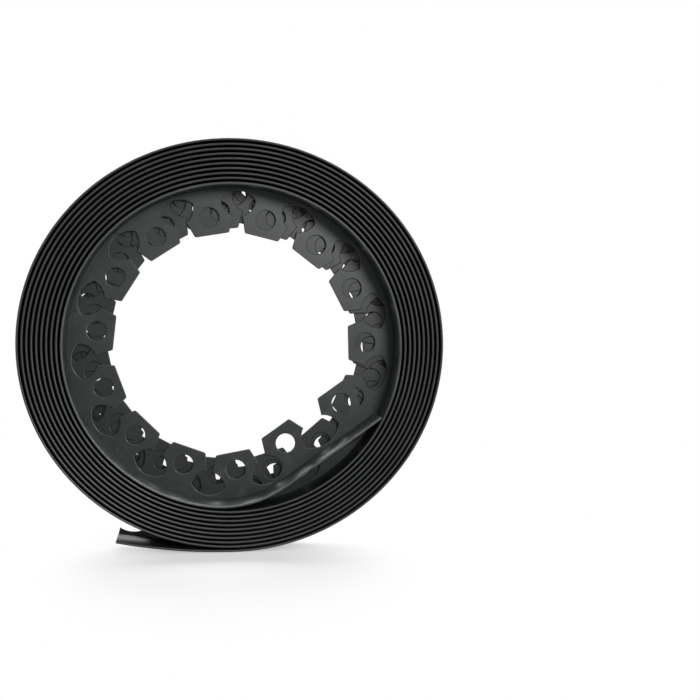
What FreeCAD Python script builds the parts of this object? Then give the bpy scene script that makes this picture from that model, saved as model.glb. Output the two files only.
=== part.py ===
"""Plastic lawn edging wound into a roll that stands on its rim.

The edging is one extruded L strip: a standing wall, and a flat flange punched into tabs that each have a peg hole.
It is wound with the flange towards the middle, and every turn lies one flange further back than the turn inside it.
The roll's axis runs along Y. The wall's free edge faces -Y, and the flange is at the back.
The inner end leaves the turns as a nearly straight chord, and the outer end springs away at the bottom left.
X = 0 is the middle of the roll's width, Y = 0 is the middle of its depth, and the roll stands on Z = 0.
"""
import FreeCAD, Part
import math
import os

SIZES = [
    ("wall_height", 40.0, "standing wall, from its free edge to the back of the flange"),
    ("wall_thickness", 2.0, "thickness of the wall"),
    ("flange_thickness", 1.8, "thickness of the flange and its tabs"),
    ("turn_setback", 2.0, "how far each turn lies behind the turn inside it"),
    ("core_size", 135.0, "radius of the wall's middle line where the first turn starts"),
    ("turn_pitch", 4.15, "growth of the radius with each turn"),
    ("turn_count", 10.0, "turns from the bottom of the first to the bottom of the last"),
    ("first_turn", 0.027, "place of the first turn's start, in turns from the bottom"),
    ("oval_first", 2.2, "how much wider than round the first turn is, on each side of the axis"),
    ("oval_last", 2.9, "how much wider than round the last turn is, on each side of the axis"),
    ("drift_side", 0.3, "sideways shift of the outermost turn against the first"),
    ("drift_up", 0.9, "upward shift of the outermost turn against the first"),
    ("inner_bend_radius", 92.0, "bend of the free inner end where it leaves the turns"),
    ("inner_bend_angle", 44.0, "angle in degrees that this bend turns through"),
    ("inner_clearance", 0.4, "gap between the inner end's corner and the turn that it leans on"),
    ("tail_radius", 485.0, "bend of the outer end that has sprung open"),
    ("tail_length", 98.0, "length of the sprung outer end"),
    ("first_tab", 19.0, "middle of the first tab, from the inner end's cut"),
    ("tab_pitch", 59.0, "spacing of the tabs along the wall"),
    ("hole_inset", 24.8, "peg hole's centre from the wall's middle line"),
    ("hole_diameter", 16.5, "peg hole"),
    ("tip_reach", 15.2, "tab's tip from the hole's centre"),
    ("tip_width", 29.0, "length of the tab's straight tip"),
    ("tab_width", 40.0, "widest part of the tab, across its shoulders"),
    ("shoulder_rise", 1.5, "shoulder's height above the hole's centre"),
    ("shoulder_bulge", 2.5, "rounding of the shoulder down to the neck"),
    ("neck_width", 24.0, "width of the tab at its neck"),
    ("neck_inset", 11.4, "neck's corners from the wall's middle line"),
    ("root_inset", 3.7, "deepest point of the cut-out, from the wall's middle line"),
    ("core_reach", 34.0, "how far inside each hidden turn the plain core of the packed flanges reaches"),
    ("step", 0.0001, "part of a turn over which the spiral's direction is measured"),
    ("halvings", 40.0, "steps of the search for the place where the inner end leans"),
]

doc = FreeCAD.newDocument("lawn_edging")
sheet = doc.addObject("Spreadsheet::Sheet", "Sizes")
for row, (alias, value, meaning) in enumerate(SIZES, start=1):
    sheet.set(f"A{row}", meaning)
    sheet.set(f"B{row}", str(value))
    sheet.setAlias(f"B{row}", alias)
doc.recompute()

wall_height = sheet.wall_height
half_wall = sheet.wall_thickness / 2
setback = sheet.turn_setback


def spot(x, z):
    """A point of the winding, seen along the roll's axis."""
    return FreeCAD.Vector(x, 0, z)


def inward(direction):
    """The direction towards the middle of the roll, for a strip that runs clockwise."""
    return FreeCAD.Vector(direction.z, 0, -direction.x)


def spiral(turns):
    """The wall's middle line, by turns counted clockwise from the bottom."""
    angle = -math.pi / 2 - 2 * math.pi * turns
    share = turns / sheet.turn_count
    oval = sheet.oval_first + (sheet.oval_last - sheet.oval_first) * share
    radius = sheet.core_size + sheet.turn_pitch * turns + oval * math.cos(2 * angle)
    return spot(
        sheet.drift_side * share + radius * math.cos(angle),
        sheet.drift_up * share + radius * math.sin(angle),
    )


def spiral_direction(turns):
    return (spiral(turns + sheet.step) - spiral(turns - sheet.step)).normalize()


def spiral_length(turns):
    """Length of the spiral from the start of the first turn."""
    first = sheet.first_turn
    return 2 * math.pi * (sheet.core_size * (turns - first) + sheet.turn_pitch * (turns**2 - first**2) / 2)


def turns_at(length):
    """Turns from the bottom, at a length along the spiral from the start of the first turn."""
    start = sheet.core_size + sheet.turn_pitch * sheet.first_turn
    reached = math.sqrt(start**2 + sheet.turn_pitch * length / math.pi)
    return (reached - sheet.core_size) / sheet.turn_pitch


def arc_away(start, direction, radius, length):
    """The point and direction reached along an arc that bends towards the middle of the roll."""
    side = inward(direction)
    turned = length / radius
    place = start + direction * (radius * math.sin(turned)) + side * (radius * (1 - math.cos(turned)))
    return place, direction * math.cos(turned) + side * math.sin(turned)


def free_end(back):
    """Point and direction on the inner end's bend, at a length back from the start of the first turn."""
    first = sheet.first_turn
    return arc_away(spiral(first), spiral_direction(first), sheet.inner_bend_radius, -back)


bend_length = sheet.inner_bend_radius * math.radians(sheet.inner_bend_angle)


def turns_around(place):
    """Turns clockwise from the bottom of the roll to a point, between minus a half and a half."""
    return math.atan2(-place.x, -place.z) / (2 * math.pi)


def straight_to_lean():
    """Length of the inner end's straight part, up to where its corner leans on the turn outside it."""
    place, direction = free_end(bend_length)
    shortest, longest = 0.0, 2 * sheet.core_size
    for _ in range(int(sheet.halvings)):
        length = (shortest + longest) / 2
        corner = place - direction * length - inward(direction) * half_wall
        leaned_on = spiral(turns_around(corner) + 1).Length - half_wall - sheet.inner_clearance
        if corner.Length < leaned_on:
            shortest = length
        else:
            longest = length
    return shortest


bend_start = straight_to_lean()
spiral_start = bend_start + bend_length
tail_start = spiral_start + spiral_length(sheet.turn_count)
strip_end = tail_start + sheet.tail_length


def path(along):
    """Point and direction of the wall's middle line, at a length from the inner end's cut."""
    if along > tail_start:
        turns = sheet.turn_count
        return arc_away(spiral(turns), spiral_direction(turns), sheet.tail_radius, along - tail_start)
    if along >= spiral_start:
        turns = turns_at(along - spiral_start)
        return spiral(turns), spiral_direction(turns)
    place, direction = free_end(spiral_start - max(along, bend_start))
    return place + direction * min(along - bend_start, 0), direction


def place_at(along, inset, y=0.0):
    """The point that lies a given inset inside the wall's middle line."""
    place, direction = path(along)
    return place + inward(direction) * inset + FreeCAD.Vector(0, y, 0)


def stops(start, end):
    """Ends of the short arcs that make up a stretch of the strip."""
    marks = [m for m in (bend_start, spiral_start, tail_start) if start < m < end]
    ends = [start, *marks, end]
    cuts = [start]
    longest = sheet.core_size / 2
    for first, last in zip(ends, ends[1:]):
        count = math.ceil((last - first) / longest)
        cuts += [first + (last - first) * i / count for i in range(1, count + 1)]
    return cuts


def run(start, end, inset, y):
    """Edges along the strip at a constant inset."""
    edges = []
    cuts = stops(start, end)
    for first, last in zip(cuts, cuts[1:]):
        ends = place_at(first, inset, y), place_at(last, inset, y)
        if last <= bend_start:
            edges.append(Part.LineSegment(*ends).toShape())
        else:
            middle = place_at((first + last) / 2, inset, y)
            edges.append(Part.Arc(ends[0], middle, ends[1]).toShape())
    return edges


def line(start, end):
    return Part.LineSegment(start, end).toShape()


def band(start, end, outer, inner, y, depth):
    """A plain curved bar of the strip, between two insets."""
    edges = run(start, end, outer, y) + run(start, end, inner, y)
    edges.append(line(place_at(start, outer, y), place_at(start, inner, y)))
    edges.append(line(place_at(end, outer, y), place_at(end, inner, y)))
    face = Part.Face(Part.Wire(Part.__sortEdges__(edges)))
    return face.extrude(FreeCAD.Vector(0, -depth, 0))


def tab_middle(number):
    return sheet.first_tab + sheet.tab_pitch * number


def gap_middle(number):
    """Middle of the cut-out before a tab."""
    return tab_middle(number) - sheet.tab_pitch / 2


def tab_point(number, across, inset, y):
    """A point of one flat tab, which keeps its shape while the wall bends."""
    place, direction = path(tab_middle(number))
    return place + direction * across + inward(direction) * inset + FreeCAD.Vector(0, y, 0)


def cutout_circle(number, y):
    """The circle of the round cut-out before a tab, through both necks and its deepest point."""
    return Part.Circle(
        tab_point(number - 1, sheet.neck_width / 2, sheet.neck_inset, y),
        place_at(gap_middle(number), sheet.root_inset, y),
        tab_point(number, -sheet.neck_width / 2, sheet.neck_inset, y),
    )


def half_cutout(number, side, y):
    """The cut-out from its deepest point, or from the strip's square end, to the neck on one side of it."""
    circle = cutout_circle(number, y)
    deepest = place_at(gap_middle(number), sheet.root_inset, y)
    if gap_middle(number) < 0:
        place, direction = path(0)
        to_centre = circle.Center - place
        level = math.sqrt(circle.Radius**2 - to_centre.dot(direction) ** 2)
        deepest = place_at(0, to_centre.dot(inward(direction)) - level, y)
    neck = tab_point(number - (side < 0), -side * sheet.neck_width / 2, sheet.neck_inset, y)
    halfway = (deepest + neck) / 2 - circle.Center
    middle = circle.Center + halfway.normalize() * circle.Radius
    return Part.Arc(deepest, middle, neck).toShape()


def tab_side(number, side, y):
    """One side of a tab, from its neck over the shoulder to the tip."""
    neck = tab_point(number, side * sheet.neck_width / 2, sheet.neck_inset, y)
    shoulder = tab_point(number, side * sheet.tab_width / 2, sheet.hole_inset + sheet.shoulder_rise, y)
    tip = tab_point(number, side * sheet.tip_width / 2, sheet.hole_inset + sheet.tip_reach, y)
    centre = tab_point(number, 0, sheet.hole_inset, y)
    chord = shoulder - neck
    bulge = FreeCAD.Vector(chord.z, 0, -chord.x).normalize() * sheet.shoulder_bulge
    middle = (neck + shoulder) / 2
    if (middle + bulge - centre).Length < (middle - bulge - centre).Length:
        bulge = -bulge
    return [Part.Arc(neck, middle + bulge, shoulder).toShape(), line(shoulder, tip)]


def tab_tip(number, y):
    inset = sheet.hole_inset + sheet.tip_reach
    return line(
        tab_point(number, -sheet.tip_width / 2, inset, y),
        tab_point(number, sheet.tip_width / 2, inset, y),
    )


def flange(start, end, corners, sides, holes, y):
    """The flange over a stretch of the strip, with its first and last corner and the edges along its tabs."""
    edges = run(start, end, 0, y) + sides
    for along, corner in zip((start, end), corners):
        edges.append(line(place_at(along, 0, y), corner))
    outline = Part.Wire(Part.__sortEdges__(edges))
    face = Part.makeFace([outline, *holes], "Part::FaceMakerBullseye")
    return face.extrude(FreeCAD.Vector(0, -sheet.flange_thickness, 0))


def punched_flange(first, last, y):
    """The flange of one turn, with its tabs and their peg holes."""
    sides = []
    holes = []
    for number in range(first, last):
        sides.append(half_cutout(number, 1, y))
        sides += tab_side(number, -1, y)
        sides.append(tab_tip(number, y))
        sides += reversed(tab_side(number, 1, y))
        sides.append(half_cutout(number + 1, -1, y))
        middle = tab_point(number, 0, sheet.hole_inset, y)
        holes.append(Part.Wire(Part.makeCircle(sheet.hole_diameter / 2, middle, FreeCAD.Vector(0, 1, 0))))
    corners = [cut.Vertexes[0].Point for cut in (sides[0], sides[-1])]
    return flange(max(gap_middle(first), 0), gap_middle(last), corners, sides, holes, y)


def plain_tabs(first, last, end, y):
    """The flange of a mostly hidden turn: straight sides from corner to corner, and no peg holes."""
    corners = [place_at(gap_middle(first), sheet.root_inset, y)]
    for number in range(first, last):
        for side, width, inset in (
            (-1, sheet.neck_width, sheet.neck_inset),
            (-1, sheet.tab_width, sheet.hole_inset + sheet.shoulder_rise),
            (-1, sheet.tip_width, sheet.hole_inset + sheet.tip_reach),
            (1, sheet.tip_width, sheet.hole_inset + sheet.tip_reach),
            (1, sheet.tab_width, sheet.hole_inset + sheet.shoulder_rise),
            (1, sheet.neck_width, sheet.neck_inset),
        ):
            corners.append(tab_point(number, side * width / 2, inset, y))
        corners.append(place_at(gap_middle(number + 1), sheet.root_inset, y))
    if end > gap_middle(last):
        place, direction = path(end)
        neck = tab_point(last, -sheet.neck_width / 2, sheet.neck_inset, y)
        left = (place - corners[-1]).dot(direction)
        corners.append(corners[-1] + (neck - corners[-1]) * (left / (neck - corners[-1]).dot(direction)))
    sides = [line(*ends) for ends in zip(corners, corners[1:])]
    return flange(gap_middle(first), end, (corners[0], corners[-1]), sides, [], y)


tab_count = math.floor((strip_end - sheet.first_tab) / sheet.tab_pitch + 0.5)


def swept(along):
    """Turns that the strip has made around the roll's axis."""
    return turns_at(along - spiral_start) if along > spiral_start else turns_around(path(along)[0])


def layer_starts():
    """The tab that each layer starts with: a layer stops short of a full turn, so that it never meets itself."""
    starts = [0]
    for number in range(1, tab_count):
        if swept(gap_middle(number + 1)) - swept(gap_middle(starts[-1])) > 1:
            starts.append(number)
    return [*starts, tab_count]


starts = layer_starts()
layer_count = len(starts) - 1
core_back = setback * (layer_count - 2)


def wound_layer(layer):
    """One layer of the roll: its wall and its flange. Hidden flanges are part of the plain core."""
    first, last = starts[layer], starts[layer + 1]
    start = 0 if layer == 0 else gap_middle(first)
    end = strip_end if layer == layer_count - 1 else gap_middle(last)
    y = setback * layer
    wall = band(start, end, -half_wall, half_wall, y, wall_height)
    if layer == 0:
        return [wall, punched_flange(first, last, y)]
    if layer in (1, layer_count - 1):
        return [wall, plain_tabs(first, last, end, y)]
    front = y - sheet.flange_thickness
    return [wall, band(start, end, 0, sheet.turn_pitch + half_wall / 2, core_back, core_back - front)]


def packed_flanges():
    """The plain core: the flanges of the hidden turns, packed one behind the other, with their common bore."""
    first = gap_middle(starts[2])
    around = 2 * math.pi * (sheet.core_size + sheet.turn_pitch * 2) + sheet.tab_pitch / 2
    deepest = sheet.core_reach + sheet.turn_pitch * 3
    bands = 3
    ends = [first + around * i / bands for i in range(bands + 1)]
    parts = [
        band(start, end, 0, deepest, core_back, core_back - setback)
        for start, end in zip(ends, ends[1:])
    ]
    core = parts[0].multiFuse(parts[1:]).removeSplitter()
    narrow = sheet.core_size - sheet.core_reach + sheet.turn_pitch
    layers = (core_back - setback) / setback
    bore = Part.makeCone(
        narrow,
        narrow + sheet.turn_pitch * layers,
        core_back - setback,
        FreeCAD.Vector(0, setback, 0),
        FreeCAD.Vector(0, 1, 0),
    )
    return core.cut(bore)


pieces = []
for layer in range(layer_count):
    pieces += wound_layer(layer)
pieces.append(packed_flanges())
roll_shape = pieces[0].multiFuse(pieces[1:]).removeSplitter()
box = roll_shape.optimalBoundingBox()
roll = doc.addObject("Part::Feature", "edging_roll")
roll.Label = "edging_roll"
roll.Shape = roll_shape
roll.Placement = FreeCAD.Placement(
    FreeCAD.Vector(-(box.XMin + box.XMax) / 2, -(box.YMin + box.YMax) / 2, -box.ZMin),
    FreeCAD.Rotation(),
)
doc.recompute()

for item in doc.Objects:
    if "Invalid" in item.State or "Error" in item.State:
        raise RuntimeError(f"{item.Label} did not build: {item.State}")
if roll.Shape.isNull() or not roll.Shape.isValid() or len(roll.Shape.Solids) != 1:
    raise RuntimeError("edging_roll is not one valid solid")

os.makedirs("parts", exist_ok=True)
roll.Shape.exportStep("parts/edging_roll.step")
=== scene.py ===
import bmesh
import bpy
import cmath
import math
from mathutils import Matrix, Vector
from mathutils.geometry import tessellate_polygon


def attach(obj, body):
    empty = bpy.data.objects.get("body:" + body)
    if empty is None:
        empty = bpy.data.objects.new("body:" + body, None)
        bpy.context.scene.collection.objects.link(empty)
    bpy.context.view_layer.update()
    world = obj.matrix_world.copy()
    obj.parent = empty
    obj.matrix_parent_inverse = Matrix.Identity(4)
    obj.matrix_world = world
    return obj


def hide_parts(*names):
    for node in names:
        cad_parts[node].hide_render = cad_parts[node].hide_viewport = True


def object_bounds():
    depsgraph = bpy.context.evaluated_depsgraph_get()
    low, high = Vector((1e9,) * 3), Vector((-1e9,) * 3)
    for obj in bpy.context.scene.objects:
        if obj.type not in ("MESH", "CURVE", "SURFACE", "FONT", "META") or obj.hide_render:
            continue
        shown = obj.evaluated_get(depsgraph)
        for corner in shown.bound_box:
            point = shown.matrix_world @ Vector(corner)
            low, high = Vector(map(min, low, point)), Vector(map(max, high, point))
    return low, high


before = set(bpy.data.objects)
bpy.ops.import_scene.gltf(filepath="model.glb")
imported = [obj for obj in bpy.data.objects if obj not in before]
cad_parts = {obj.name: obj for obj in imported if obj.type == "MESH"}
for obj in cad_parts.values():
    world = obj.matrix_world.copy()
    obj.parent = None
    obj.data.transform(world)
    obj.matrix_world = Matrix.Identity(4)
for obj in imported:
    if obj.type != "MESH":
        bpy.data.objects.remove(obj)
cad_low, cad_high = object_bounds()


# Camera
# It stands a little left of the roll's middle and above it, and is turned to the right,
# so that the roll fills the left of the picture.
picture_width = 700
camera_from_front = 1.077
camera_left = 0.0283
camera_above = 0.0530
turned_right = 0.1149
tipped_down = 0.0510
pixels_of_focal_length = 1308
nearest_seen = 0.01
camera_data = bpy.data.cameras.new("camera")
camera_data.lens = camera_data.sensor_width * pixels_of_focal_length / picture_width
camera_data.clip_start = nearest_seen
camera = bpy.data.objects.new("camera", camera_data)
camera.location = (-camera_left, cad_low.y - camera_from_front, cad_high.z / 2 + camera_above)
camera.rotation_euler = (math.pi / 2 - tipped_down, 0, -turned_right)
bpy.context.scene.collection.objects.link(camera)
bpy.context.scene.camera = camera


# The edging, as it is wound
# One extruded strip of black plastic, about 10 m long. It is wound by machine into ten turns, each lying
# one flange further back than the turn inside it. The inner end stays straight and leans on the turn
# outside it, and the outer end has sprung open on the floor.
core_radius = 0.135
turn_pitch = 0.00415
turn_count = 10
first_turn = 0.027
oval_first = 0.0022
oval_last = 0.0029
drift = complex(0.0003, 0.0009)
inner_bend_radius = 0.092
inner_bend_angle = math.radians(44)
inner_clearance = 0.0004
tail_radius = 0.485
tail_length = 0.098
wall_height = 0.040
wall_thickness = 0.002
half_wall = wall_thickness / 2
direction_step = 1e-4
halvings = 40


def inward(direction):
    """The direction towards the middle of the roll, for a strip that runs clockwise."""
    return -1j * direction


def winding(turns):
    """The wall's middle line as x + z i, by turns counted clockwise from the bottom."""
    angle = -math.pi / 2 - math.tau * turns
    share = turns / turn_count
    oval = oval_first + (oval_last - oval_first) * share
    radius = core_radius + turn_pitch * turns + oval * math.cos(2 * angle)
    return drift * share + cmath.rect(radius, angle)


def winding_direction(turns):
    ahead = winding(turns + direction_step) - winding(turns - direction_step)
    return ahead / abs(ahead)


def wound_length(turns):
    """Length of the winding from the start of the first turn."""
    growth = turn_pitch * (turns**2 - first_turn**2) / 2
    return math.tau * (core_radius * (turns - first_turn) + growth)


def turns_at(length):
    """Turns from the bottom, at a length along the winding."""
    start = core_radius + turn_pitch * first_turn
    reached = math.sqrt(start**2 + turn_pitch * length / math.pi)
    return (reached - core_radius) / turn_pitch


def arc_away(start, direction, radius, length):
    """The point and direction reached along an arc that bends towards the middle of the roll."""
    turned = length / radius
    place = start + direction * radius * (math.sin(turned) - 1j * (1 - math.cos(turned)))
    return place, direction * cmath.exp(-1j * turned)


def free_end(back):
    """Place and direction on the inner end's bend, at a length back from the start of the first turn."""
    return arc_away(winding(first_turn), winding_direction(first_turn), inner_bend_radius, -back)


def turns_around(place):
    """Turns clockwise from the bottom of the roll to a point, between minus a half and a half."""
    return math.atan2(-place.real, -place.imag) / math.tau


def straight_to_lean():
    """Length of the inner end's straight part, up to where its corner leans on the turn outside."""
    place, direction = free_end(bend_length)
    shortest, longest = 0.0, 2 * core_radius
    for _ in range(halvings):
        length = (shortest + longest) / 2
        corner = place - direction * length - inward(direction) * half_wall
        leaned_on = abs(winding(turns_around(corner) + 1)) - half_wall - inner_clearance
        if abs(corner) < leaned_on:
            shortest = length
        else:
            longest = length
    return shortest


bend_length = inner_bend_radius * inner_bend_angle
bend_start = straight_to_lean()
winding_start = bend_start + bend_length
tail_start = winding_start + wound_length(turn_count)
strip_end = tail_start + tail_length


def path(along):
    """Place and direction of the wall's middle line, at a length from the inner end's cut."""
    if along > tail_start:
        last, heading = winding(turn_count), winding_direction(turn_count)
        return arc_away(last, heading, tail_radius, along - tail_start)
    if along >= winding_start:
        turns = turns_at(along - winding_start)
        return winding(turns), winding_direction(turns)
    place, direction = free_end(winding_start - max(along, bend_start))
    return place + direction * min(along - bend_start, 0), direction


def turns_made(along):
    """Turns that the strip has made round the roll's axis."""
    if along > tail_start:
        outermost = core_radius + turn_pitch * turn_count
        return turn_count + (along - tail_start) / (math.tau * outermost)
    if along > winding_start:
        return turns_at(along - winding_start)
    return turns_around(path(along)[0])


setback = (cad_high.y - cad_low.y - wall_height) / (turns_made(strip_end) - turns_made(0))


def back_of(along):
    """How far back the flange's rear face lies, in the roll's frame."""
    return cad_low.y + wall_height + setback * (turns_made(along) - turns_made(0))


def beside(along, inset):
    """The point that lies a given inset inside the wall's middle line."""
    place, direction = path(along)
    return place + inward(direction) * inset


# The standing wall
# A plain extruded strip 2 mm thick. Its free edge faces the front and is slightly rounded by the die.
# The places along it follow the tabs that are punched into its flange.
tab_pitch = 0.0590
first_tab = 0.019
steps_per_tab = 8
edge_round = 0.0009
round_middle = edge_round * 0.3
rear_round = 0.0004
flange_thickness = 0.0018
creep_first = 27
creep_last = 158
creeps = ((1, 0.0228), (2, -0.0081), (3, -0.0135))

PLASTIC, FREE_EDGE, PAINTED_HIGHLIGHT_RIM = range(3)
vertices = []
faces = []
finishes = []
strip_coordinates = {}


def add_vertex(place, y, along, across):
    """A vertex of the strip, with where it lies on the flat strip before winding."""
    vertices.append((place.real, y, place.imag))
    strip_coordinates[len(vertices) - 1] = (along, across)
    return len(vertices) - 1


def tab_middle(number):
    """Middle of a tab. The punch creeps by a few millimetres over the hidden turns and back again."""
    turned = math.pi * (number - creep_first) / (creep_last - creep_first)
    creep = 0.0
    if 0 < turned < math.pi:
        waves = (most * math.sin(wave * turned) for wave, most in creeps)
        creep = math.sin(turned) * sum(waves)
    return first_tab + tab_pitch * number + creep


def gap_middle(number):
    """Middle of the cut-out before a tab."""
    return (tab_middle(number - 1) + tab_middle(number)) / 2


wall_outline = [
    (half_wall, wall_height - flange_thickness),
    (half_wall, edge_round),
    (half_wall - round_middle, round_middle),
    (half_wall - edge_round, 0.0),
    (edge_round - half_wall, 0.0),
    (round_middle - half_wall, round_middle),
    (-half_wall, edge_round),
    (-half_wall, wall_height - rear_round),
    (rear_round - half_wall, wall_height),
    (half_wall, wall_height),
]
FOOT, REAR = 0, len(wall_outline) - 1
free_edge_sides = range(1, 6)


def wall_section(along):
    """Vertices round the wall at one place, from the flange's front round the free edge to its back."""
    front = back_of(along) - wall_height
    ring = []
    travelled = 0.0
    for index, (inset, depth) in enumerate(wall_outline):
        if index:
            before = wall_outline[index - 1]
            travelled += math.hypot(inset - before[0], depth - before[1])
        ring.append(add_vertex(beside(along, inset), front + depth, along, -travelled))
    return ring


tab_count = round((strip_end - first_tab) / tab_pitch)
stations = [0.0]
for number in range(tab_count + 1):
    for step in range(steps_per_tab):
        share = step / steps_per_tab
        station = gap_middle(number) * (1 - share) + gap_middle(number + 1) * share
        if stations[-1] + half_wall < station < strip_end - half_wall:
            stations.append(station)
stations.append(strip_end)
sections = [wall_section(station) for station in stations]
for near, far in zip(sections, sections[1:]):
    for side in range(REAR):
        faces.append((near[side], near[side + 1], far[side + 1], far[side]))
        finishes.append(FREE_EDGE if side in free_edge_sides else PLASTIC)


# The flange
# It is punched into tabs that stay flat while the wall bends. Each tab widens from a narrow neck to two
# rounded shoulders, ends in a straight tip and has one round hole for a ground peg.
hole_inset = 0.0248
hole_radius = 0.00825
tip_reach = 0.0152
tip_width = 0.029
tab_width = 0.040
shoulder_rise = 0.0015
shoulder_bulge = 0.0025
neck_width = 0.024
neck_inset = 0.0114
root_inset = 0.0037
tip_round = 0.0012
punched_rim = 0.0006
hole_sides = 32
cutout_steps = 16
shoulder_steps = 7
corner_fullness = 0.42


def arc(start, middle, end, count):
    """Points along the arc through three points, both ends included."""
    chord = end - start
    height = (middle - start) / chord - 0.5
    rise = (abs(height) ** 2 - 0.25) / (2 * height.imag)
    centre = start + chord * (0.5 + 1j * rise)
    sweep = cmath.phase((end - centre) / (start - centre))
    halfway = cmath.phase((middle - centre) / (start - centre))
    if sweep * halfway < 0 or abs(halfway) > abs(sweep):
        sweep -= math.copysign(math.tau, sweep)
    turns = [cmath.exp(1j * sweep * step / count) for step in range(count + 1)]
    return [centre + (start - centre) * turn for turn in turns]


def tab_point(number, across, inset):
    """A point of one flat tab."""
    place, direction = path(tab_middle(number))
    return place + direction * across + inward(direction) * inset


def cutout(number):
    """The round cut-out before a tab, from the neck before it to the tab's own neck."""
    before = tab_point(number - 1, neck_width / 2, neck_inset)
    after = tab_point(number, -neck_width / 2, neck_inset)
    return arc(before, beside(gap_middle(number), root_inset), after, cutout_steps)


def rounded(before, corner, after, radius):
    """Three points that take a corner off."""
    start = corner + (before - corner) / abs(before - corner) * radius
    end = corner + (after - corner) / abs(after - corner) * radius
    return [start, corner + ((start + end) / 2 - corner) * corner_fullness, end]


def rounded_side(start, end):
    """The rounded side between neck and shoulder."""
    outwards = 1j * (end - start) / abs(end - start) * shoulder_bulge
    return arc(start, (start + end) / 2 + outwards, end, shoulder_steps)


def tab_outline(number):
    """The tab from one neck to the other: shoulder, tip and shoulder."""
    corners = [
        tab_point(number, side * width / 2, inset)
        for side, width, inset in (
            (-1, neck_width, neck_inset),
            (-1, tab_width, hole_inset + shoulder_rise),
            (-1, tip_width, hole_inset + tip_reach),
            (1, tip_width, hole_inset + tip_reach),
            (1, tab_width, hole_inset + shoulder_rise),
            (1, neck_width, neck_inset),
        )
    ]
    neck, shoulder, tip, far_tip, far_shoulder, far_neck = corners
    points = rounded_side(neck, shoulder)
    points += rounded(shoulder, tip, far_tip, tip_round)
    points += rounded(tip, far_tip, far_shoulder, tip_round)
    points += rounded_side(far_shoulder, far_neck)
    return points


def strip_place(number, point):
    """Length along the strip and inset of a point of one tab."""
    middle = tab_middle(number)
    place, direction = path(middle)
    local = (point - place) / direction
    return middle + local.real, -local.imag


def crossing(number, inside, outside, length):
    """The point on a line where it crosses the strip's square end."""
    near = strip_place(number, inside)[0]
    far = strip_place(number, outside)[0]
    return inside + (outside - inside) * ((length - near) / (far - near))


def rim_vertices(number, points, rims):
    """Four vertices over the flange's cut edge at each point: front face, two on the rims, back face."""
    rings = []
    for point, rim in zip(points, rims):
        along, inset = strip_place(number, point)
        back = back_of(along)
        front = back - flange_thickness
        rings.append(
            [
                add_vertex(rim, front, along, inset),
                add_vertex(point, front + punched_rim, along, inset + flange_thickness),
                add_vertex(point, back - punched_rim, along, inset + flange_thickness),
                add_vertex(rim, back, along, inset),
            ]
        )
    return rings


def drawn_in(points):
    """The points moved a rim's width into the material."""
    moved = []
    for index, point in enumerate(points):
        before = points[max(index - 1, 0)]
        after = points[min(index + 1, len(points) - 1)]
        heading = (after - before) / abs(after - before)
        moved.append(point - inward(heading) * punched_rim)
    return moved


def skin_edge(rings, following):
    """The faces of a cut edge: a rim at the front, the cut itself and a rim at the back."""
    for near, far in zip(rings, following):
        for level, finish in enumerate((PAINTED_HIGHLIGHT_RIM, PLASTIC, PAINTED_HIGHLIGHT_RIM)):
            faces.append((near[level], near[level + 1], far[level + 1], far[level]))
            finishes.append(finish)


def fill(outer, hole):
    """Triangles over a flat face with one hole, or none."""
    loops = [outer, hole] if hole else [outer]
    flat = [index for loop in loops for index in loop]
    drawn = [[Vector((vertices[i][0], vertices[i][2], 0)) for i in loop] for loop in loops]
    for triangle in tessellate_polygon(drawn):
        faces.append(tuple(flat[i] for i in triangle))
        finishes.append(PLASTIC)


def circle_round(centre, radius):
    sides = range(hole_sides)
    return [centre + cmath.rect(radius, math.tau * side / hole_sides) for side in sides]


shared_gaps = {}
for number in range(tab_count + 1):
    start, end = max(gap_middle(number), 0.0), min(gap_middle(number + 1), strip_end)
    if end - start < half_wall:
        continue
    first_cut = gap_middle(number) < 0
    last_cut = gap_middle(number + 1) > strip_end
    near_gap, far_gap = cutout(number), cutout(number + 1)
    half = cutout_steps // 2
    points = near_gap[half:-1] + tab_outline(number) + far_gap[1 : half + 1]
    if first_cut:
        outside = [point for point in near_gap if strip_place(number, point)[0] <= 0][-1]
        points = [point for point in points if strip_place(number, point)[0] > 0]
        points.insert(0, crossing(number, points[0], outside, 0.0))
    if last_cut:
        outside = [point for point in near_gap if strip_place(number, point)[0] >= strip_end][0]
        points = [point for point in points if strip_place(number, point)[0] < strip_end]
        points.append(crossing(number, points[-1], outside, strip_end))
    rims = drawn_in(points)
    rims[0] = beside(gap_middle(number), root_inset - punched_rim)
    rims[-1] = beside(gap_middle(number + 1), root_inset - punched_rim)
    if first_cut:
        rims[0] = points[0] - inward(path(0.0)[1]) * punched_rim
    if last_cut:
        rims[-1] = points[-1] - inward(path(strip_end)[1]) * punched_rim
    rings = rim_vertices(number, points, rims)
    if number in shared_gaps:
        rings[0] = shared_gaps[number]
    shared_gaps[number + 1] = rings[-1]
    skin_edge(rings, rings[1:])
    hole_rings = []
    if not last_cut:
        centre = tab_point(number, 0, hole_inset)
        hole = circle_round(centre, hole_radius)
        hole_rim = circle_round(centre, hole_radius + punched_rim)
        hole_rings = rim_vertices(number, hole, hole_rim)
        skin_edge(hole_rings, hole_rings[1:] + hole_rings[:1])
    near_wall, far_wall = start - half_wall / 2, end + half_wall / 2
    root = [ring for station, ring in zip(stations, sections) if near_wall < station < far_wall]
    for level, corner in ((0, FOOT), (3, REAR)):
        outer = [ring[level] for ring in rings] + [ring[corner] for ring in reversed(root)]
        fill(outer, [ring[level] for ring in hole_rings])

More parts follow.
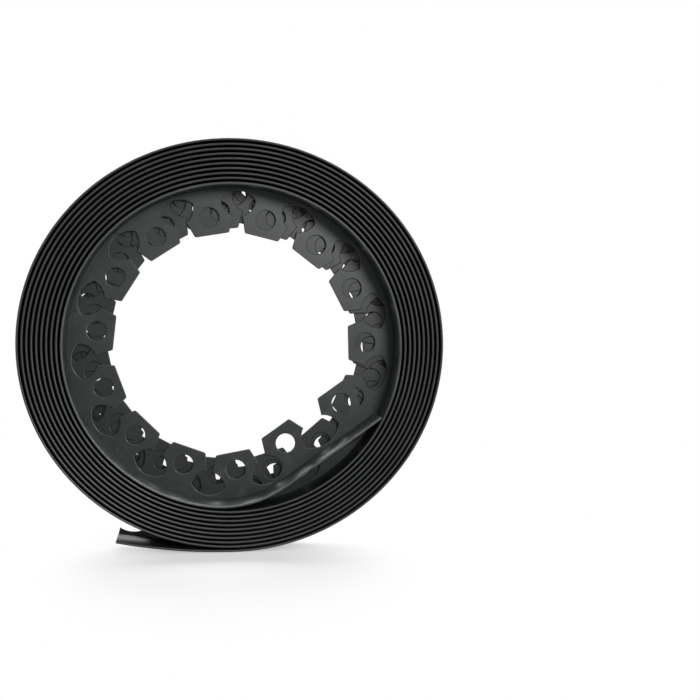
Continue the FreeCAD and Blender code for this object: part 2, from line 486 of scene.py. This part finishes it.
sharp_from = math.radians(35)
mesh = bpy.data.meshes.new("wound_edging")
mesh.from_pydata(vertices, [], faces)
for polygon, finish in zip(mesh.polygons, finishes):
    polygon.material_index = finish
build = bmesh.new()
build.from_mesh(mesh)
build.verts.ensure_lookup_table()
strip_map = build.loops.layers.uv.new("strip")
for face in build.faces:
    for loop in face.loops:
        loop[strip_map].uv = strip_coordinates[loop.vert.index]
open_edges = [edge for edge in build.edges if edge.is_boundary]
bmesh.ops.holes_fill(build, edges=open_edges, sides=0)
bmesh.ops.recalc_face_normals(build, faces=build.faces)
for face in build.faces:
    face.smooth = True
for edge in build.edges:
    edge.smooth = edge.is_manifold and edge.calc_face_angle() < sharp_from
build.to_mesh(mesh)
build.free()
edging = bpy.data.objects.new("wound_edging", mesh)
bpy.context.scene.collection.objects.link(edging)
low = [min(vertex.co[axis] for vertex in mesh.vertices) for axis in range(3)]
high = [max(vertex.co[axis] for vertex in mesh.vertices) for axis in range(3)]
to_floor = (-(low[0] + high[0]) / 2, -(low[1] + high[1]) / 2, -low[2])
mesh.transform(Matrix.Translation(to_floor))


# The plastic
# Black recycled polyethylene with a satin skin. The die leaves fine lines along the strip, the inner end
# is scuffed by hands, and the outermost turn has gone slightly brown. The rims of the punched cuts are
# painted lighter as a painted highlight, the free edge is lighter partly from wear and partly as a
# painted highlight, and the turns behind the first are painted darker as painted shade.
die_lines = (6, 900, 1)
cloud_scale = 38
smudge_scale = 62
speck_scale = 260
speck_colour = (0.35, 0.36, 0.36, 1)
handled_end = (0.20, 0.15)
# Painted shade: from the second turn on, the colour is darkened to half, standing in for the shade
# between the stacked layers.
painted_shade_from = (gap_middle(14), gap_middle(15))
painted_shade_depth = 0.5
outermost_from = (tail_start - 1.1, tail_start - 0.9)
browned = (1, 0.93, 0.86, 1)
sheen = 0.3


def feed(links, value, socket):
    """Set a socket to a value, or link it to the socket that gives it."""
    if isinstance(value, bpy.types.NodeSocket):
        links.new(value, socket)
    else:
        socket.default_value = value


def ranged(nodes, links, value, spread, result=(0, 1), kind="LINEAR"):
    """A result that goes from its first number to its second while the value goes over the spread."""
    node = nodes.new("ShaderNodeMapRange")
    node.interpolation_type = kind
    feed(links, value, node.inputs["Value"])
    for name, number in zip(("From Min", "From Max", "To Min", "To Max"), (*spread, *result)):
        node.inputs[name].default_value = number
    return node.outputs["Result"]


def worked_out(nodes, links, operation, *values):
    node = nodes.new("ShaderNodeMath")
    node.operation = operation
    for value, socket in zip(values, node.inputs):
        feed(links, value, socket)
    return node.outputs["Value"]


def mixed(nodes, links, kind, share, first, second):
    node = nodes.new("ShaderNodeMix")
    node.data_type = "RGBA"
    node.blend_type = kind
    for value, name in ((share, "Factor"), (first, "A"), (second, "B")):
        feed(links, value, node.inputs[name])
    return node.outputs["Result"]


def noise(nodes, links, place, scale, detail, roughness=0.5):
    node = nodes.new("ShaderNodeTexNoise")
    node.inputs["Scale"].default_value = scale
    node.inputs["Detail"].default_value = detail
    node.inputs["Roughness"].default_value = roughness
    links.new(place, node.inputs["Vector"])
    return node.outputs["Fac"]


def plastic(name, colour, lighter, roughness):
    """One finish of the strip: die lines along it, cloudy wear, smudges, tiny pale specks and painted
    shade on the turns behind the first.
    """
    material = bpy.data.materials.new(name)
    material.use_nodes = True
    nodes, links = material.node_tree.nodes, material.node_tree.links
    shader = nodes["Principled BSDF"]
    shader.inputs["Specular IOR Level"].default_value = sheen
    on_strip = nodes.new("ShaderNodeUVMap")
    on_strip.uv_map = "strip"
    on_strip = on_strip.outputs["UV"]
    on_roll = nodes.new("ShaderNodeTexCoord").outputs["Object"]
    length = nodes.new("ShaderNodeSeparateXYZ")
    links.new(on_strip, length.inputs["Vector"])
    length = length.outputs["X"]

    drawn_out = nodes.new("ShaderNodeMapping")
    drawn_out.inputs["Scale"].default_value = die_lines
    links.new(on_strip, drawn_out.inputs["Vector"])
    drawn = noise(nodes, links, drawn_out.outputs["Vector"], 1, 3)
    clouds = noise(nodes, links, on_roll, cloud_scale, 6, 0.6)
    wear = worked_out(nodes, links, "MULTIPLY", drawn, clouds)
    handled = ranged(nodes, links, length, handled_end, (0, 0.42))
    smudges = noise(nodes, links, on_strip, smudge_scale, 4)
    smudges = ranged(nodes, links, smudges, (0.54, 0.68), kind="SMOOTHSTEP")
    wear = worked_out(nodes, links, "MULTIPLY_ADD", smudges, handled, wear)
    tint = nodes.new("ShaderNodeValToRGB")
    tint.color_ramp.elements[0].position = 0.12
    tint.color_ramp.elements[0].color = (*colour, 1)
    tint.color_ramp.elements[1].position = 0.48
    tint.color_ramp.elements[1].color = (*lighter, 1)
    links.new(wear, tint.inputs["Fac"])

    # Painted shade: the turns behind the first are darkened, not a real colour of the plastic.
    painted_turn_shade = ranged(nodes, links, length, painted_shade_from, (1, painted_shade_depth))
    shaded = mixed(nodes, links, "MULTIPLY", 1, tint.outputs["Color"], painted_turn_shade)
    outermost = ranged(nodes, links, length, outermost_from)
    aged = mixed(nodes, links, "MULTIPLY", outermost, shaded, browned)
    grains = nodes.new("ShaderNodeTexVoronoi")
    grains.inputs["Scale"].default_value = speck_scale
    links.new(on_roll, grains.inputs["Vector"])
    small = ranged(nodes, links, grains.outputs["Distance"], (0.10, 0.07))
    rare = ranged(nodes, links, grains.outputs["Color"], (0.955, 0.965))
    speck = worked_out(nodes, links, "MULTIPLY", small, rare)
    links.new(mixed(nodes, links, "MIX", speck, aged, speck_colour), shader.inputs["Base Color"])

    gloss = ranged(nodes, links, clouds, (0, 1), (roughness - 0.08, roughness + 0.10))
    links.new(gloss, shader.inputs["Roughness"])
    lines = nodes.new("ShaderNodeBump")
    lines.inputs["Strength"].default_value = 0.12
    lines.inputs["Distance"].default_value = 0.0002
    links.new(drawn, lines.inputs["Height"])
    links.new(lines.outputs["Normal"], shader.inputs["Normal"])
    return material


for finish in (
    plastic("moulded_plastic", (0.012, 0.0155, 0.0155), (0.030, 0.034, 0.034), 0.34),
    # The free edge: lighter than the moulded faces, partly rubbed wear and partly a painted highlight
    # along the rounded edge.
    plastic("free_edge", (0.040, 0.044, 0.043), (0.080, 0.084, 0.082), 0.36),
    # The rims of the punched cuts: a lighter colour that stands in for the highlight on their bevels, a
    # painted highlight.
    plastic("punched_rim", (0.060, 0.064, 0.063), (0.120, 0.126, 0.125), 0.30),
):
    mesh.materials.append(finish)
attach(edging, "root")
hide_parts("edging_roll")


# Floor and backdrop
# A flat white floor under a white background. It keeps the roll's soft shadow and fades to pure white a
# little way off.
floor_reach = 4.0
grey_paint = (0.30, 0.30, 0.30, 1)
white_paint = (0.86, 0.86, 0.86, 1)
shadow_middle = (-0.005, -0.05)
shadow_reach = (0.155, 0.26)
fade_from = 0.2
fade_least = 0.42
floor_corners = ((-1, -1), (1, -1), (1, 1), (-1, 1))
floor_mesh = bpy.data.meshes.new("floor")
floor_points = [(x * floor_reach, y * floor_reach, 0) for x, y in floor_corners]
floor_mesh.from_pydata(floor_points, [], [(0, 1, 2, 3)])
floor = bpy.data.objects.new("floor", floor_mesh)
bpy.context.scene.collection.objects.link(floor)


def sees_white(nodes, links):
    """One for the rays that show the white background: seen directly, mirrored or through glass."""
    rays = nodes.new("ShaderNodeLightPath").outputs
    mirrored = worked_out(
        nodes, links, "MAXIMUM", rays["Is Glossy Ray"], rays["Is Transmission Ray"]
    )
    return worked_out(nodes, links, "MAXIMUM", rays["Is Camera Ray"], mirrored)


white = bpy.data.materials.new("white_floor")
white.use_nodes = True
nodes, links = white.node_tree.nodes, white.node_tree.links
painted = nodes["Principled BSDF"]
painted.inputs["Roughness"].default_value = 0.9
painted.inputs["Specular IOR Level"].default_value = 0.0
glow = nodes.new("ShaderNodeEmission")
glow.inputs["Strength"].default_value = 1
seen = sees_white(nodes, links)
paint = mixed(nodes, links, "MIX", seen, grey_paint, white_paint)
links.new(paint, painted.inputs["Base Color"])
on_floor = nodes.new("ShaderNodeTexCoord").outputs["Object"]
from_shadow = nodes.new("ShaderNodeMapping")
from_shadow.inputs["Scale"].default_value = (1 / shadow_reach[0], 1 / shadow_reach[1], 1)
from_shadow.inputs["Location"].default_value = (
    -shadow_middle[0] / shadow_reach[0],
    -shadow_middle[1] / shadow_reach[1],
    0,
)
links.new(on_floor, from_shadow.inputs["Vector"])
away = nodes.new("ShaderNodeVectorMath")
away.operation = "LENGTH"
links.new(from_shadow.outputs["Vector"], away.inputs[0])
fade = ranged(nodes, links, away.outputs["Value"], (fade_from, 1), (fade_least, 1), "SMOOTHSTEP")
blend = nodes.new("ShaderNodeMixShader")
links.new(worked_out(nodes, links, "MULTIPLY", fade, seen), blend.inputs["Fac"])
links.new(painted.outputs["BSDF"], blend.inputs[1])
links.new(glow.outputs["Emission"], blend.inputs[2])
links.new(blend.outputs["Shader"], nodes["Material Output"].inputs["Surface"])
floor_mesh.materials.append(white)


# Light
# A white room, a broad lamp above and behind the roll, a small one in front on the right that gives the
# upper tabs their sheen, and one from the right.
room_light = 0.16
white_light = (1, 1, 1, 1)
world = bpy.data.worlds.new("studio")
bpy.context.scene.world = world
world.use_nodes = True
nodes, links = world.node_tree.nodes, world.node_tree.links
nodes["Background"].inputs["Color"].default_value = white_light
nodes["Background"].inputs["Strength"].default_value = room_light
backdrop = nodes.new("ShaderNodeBackground")
backdrop.inputs["Color"].default_value = white_light
backdrop.inputs["Strength"].default_value = 1
behind = nodes.new("ShaderNodeMixShader")
links.new(sees_white(nodes, links), behind.inputs["Fac"])
links.new(nodes["Background"].outputs["Background"], behind.inputs[1])
links.new(backdrop.outputs["Background"], behind.inputs[2])
links.new(behind.outputs["Shader"], nodes["World Output"].inputs["Surface"])


def lamp(name, place, aim, width, height, power):
    """A soft rectangular lamp, turned to what it lights."""
    data = bpy.data.lights.new(name, "AREA")
    data.shape = "RECTANGLE"
    data.size = width
    data.size_y = height
    data.energy = power
    light = bpy.data.objects.new(name, data)
    light.location = place
    light.rotation_euler = (Vector(aim) - Vector(place)).to_track_quat("-Z", "Y").to_euler()
    bpy.context.scene.collection.objects.link(light)


roll_middle = (0, 0, cad_high.z / 2)
lamp("lamp_above", (0.1, 0.95, 1.3), roll_middle, 1.5, 1.3, 30)
lamp("lamp_front_right", (0.42, -1.4, 0.56), (0.08, 0, 0.3), 0.35, 0.35, 15)
lamp("lamp_right", (1.3, -0.5, 1.0), roll_middle, 0.4, 0.5, 9)

bpy.context.scene.view_settings.view_transform = "Standard"
